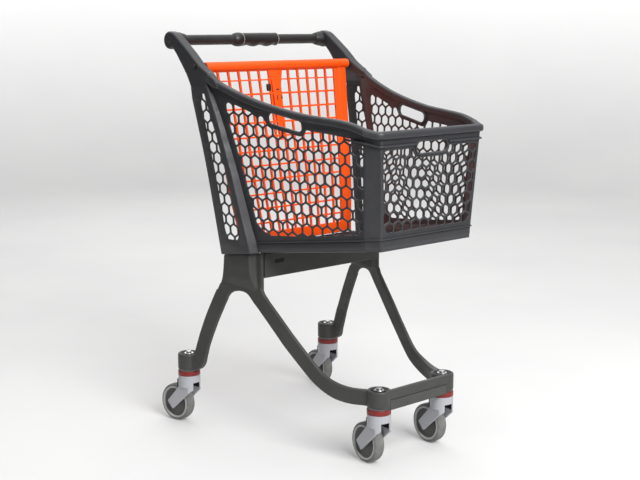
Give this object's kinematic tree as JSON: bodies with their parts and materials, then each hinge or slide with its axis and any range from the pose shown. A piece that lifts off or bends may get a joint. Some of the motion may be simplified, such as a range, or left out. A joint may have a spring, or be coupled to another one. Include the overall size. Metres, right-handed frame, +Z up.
{
  "type": "shopping cart",
  "caption": "Compact plastic supermarket cart: honeycomb basket on an inverted-Y chassis, cross handle, swing-up rear flap and swivel casters.",
  "frame": {"origin": "on the floor, under the middle of the cart's bounding box", "axes": "+Z up, -Y towards the basket's front, +X towards the pusher's left"},
  "size_m": [0.5701, 0.7431, 1.0427],
  "materials": {
    "basket_plastic": "fine moulded texture, satin",
    "chassis_plastic": "fine moulded texture, satin",
    "handle_black": "smooth satin",
    "flap_orange": "smooth satin to gloss",
    "fork_grey": "fine moulded texture",
    "ring_red": "smooth",
    "tyre_grey": "matte rubber",
    "hub_grey": "satin moulded",
    "zinc_steel": "zinc plated, satin"
  },
  "bodies": {
    "root": {"crossbar_insert": "chassis_plastic", "flap_bushing_left": "handle_black", "flap_bushing_right": "handle_black", "flap_pin_left": "zinc_steel", "flap_pin_right": "zinc_steel", "floor_tray": "basket_plastic", "front_cross_beam": "chassis_plastic", "front_crossbar": "chassis_plastic", "front_left_stem_cap": "zinc_steel", "front_left_swivel_stem": "zinc_steel", "front_panel": "basket_plastic", "front_right_stem_cap": "zinc_steel", "front_right_swivel_stem": "zinc_steel", "handle_bolt_left": "zinc_steel", "handle_bolt_right": "zinc_steel", "handle_collar_left": "handle_black", "handle_collar_right": "handle_black", "handle_sleeve": "handle_black", "handle_tube": "handle_black", "rear_cross_beam": "chassis_plastic", "rear_left_stem_cap": "zinc_steel", "rear_left_swivel_stem": "zinc_steel", "rear_right_stem_cap": "zinc_steel", "rear_right_swivel_stem": "zinc_steel", "side_frame_left": "chassis_plastic", "side_frame_right": "chassis_plastic", "side_panel_left": "basket_plastic", "side_panel_right": "basket_plastic", "sleeve_collar": "handle_black"},
    "flap": {"flap_catch": "handle_black", "rear_flap": "flap_orange"},
    "front_left_swivel": {"front_left_axle": "zinc_steel", "front_left_fork": "fork_grey", "front_left_seal_ring": "ring_red"},
    "front_left_wheel": {"front_left_tyre": "tyre_grey", "front_left_wheel_hub": "hub_grey"},
    "front_right_swivel": {"front_right_axle": "zinc_steel", "front_right_fork": "fork_grey", "front_right_seal_ring": "ring_red"},
    "front_right_wheel": {"front_right_tyre": "tyre_grey", "front_right_wheel_hub": "hub_grey"},
    "rear_left_swivel": {"rear_left_axle": "zinc_steel", "rear_left_fork": "fork_grey", "rear_left_seal_ring": "ring_red"},
    "rear_left_wheel": {"rear_left_tyre": "tyre_grey", "rear_left_wheel_hub": "hub_grey"},
    "rear_right_swivel": {"rear_right_axle": "zinc_steel", "rear_right_fork": "fork_grey", "rear_right_seal_ring": "ring_red"},
    "rear_right_wheel": {"rear_right_tyre": "tyre_grey", "rear_right_wheel_hub": "hub_grey"}
  },
  "joints": [
    {"name": "flap_hinge", "type": "hinge", "parent": "root", "child": "flap", "pos_m": [0, 0.1958, 0.953], "axis": [-1, 0, 0], "range_deg": [0, 60]},
    {"name": "front_left_swivel", "type": "hinge", "parent": "root", "child": "front_left_swivel", "pos_m": [0.112, -0.3042, 0.13], "axis": [0, 0, 1], "continuous": true},
    {"name": "front_left_roll", "type": "hinge", "parent": "front_left_swivel", "child": "front_left_wheel", "pos_m": [0.11533, -0.26183, 0.05], "axis": [0.9969, -0.0785, 0], "continuous": true},
    {"name": "front_right_swivel", "type": "hinge", "parent": "root", "child": "front_right_swivel", "pos_m": [-0.112, -0.3042, 0.13], "axis": [0, 0, 1], "continuous": true},
    {"name": "front_right_roll", "type": "hinge", "parent": "front_right_swivel", "child": "front_right_wheel", "pos_m": [-0.10682, -0.26202, 0.05], "axis": [0.9925, -0.1219, 0], "continuous": true},
    {"name": "rear_left_swivel", "type": "hinge", "parent": "root", "child": "rear_left_swivel", "pos_m": [0.2525, 0.2788, 0.13], "axis": [0, 0, 1], "continuous": true},
    {"name": "rear_left_roll", "type": "hinge", "parent": "rear_left_swivel", "child": "rear_left_wheel", "pos_m": [0.25546, 0.3212, 0.05], "axis": [0.9976, -0.0698, 0], "continuous": true},
    {"name": "rear_right_swivel", "type": "hinge", "parent": "root", "child": "rear_right_swivel", "pos_m": [-0.2525, 0.2788, 0.13], "axis": [0, 0, 1], "continuous": true},
    {"name": "rear_right_roll", "type": "hinge", "parent": "rear_right_swivel", "child": "rear_right_wheel", "pos_m": [-0.26061, 0.32052, 0.05], "axis": [0.9816, 0.1908, 0], "continuous": true}
  ]
}
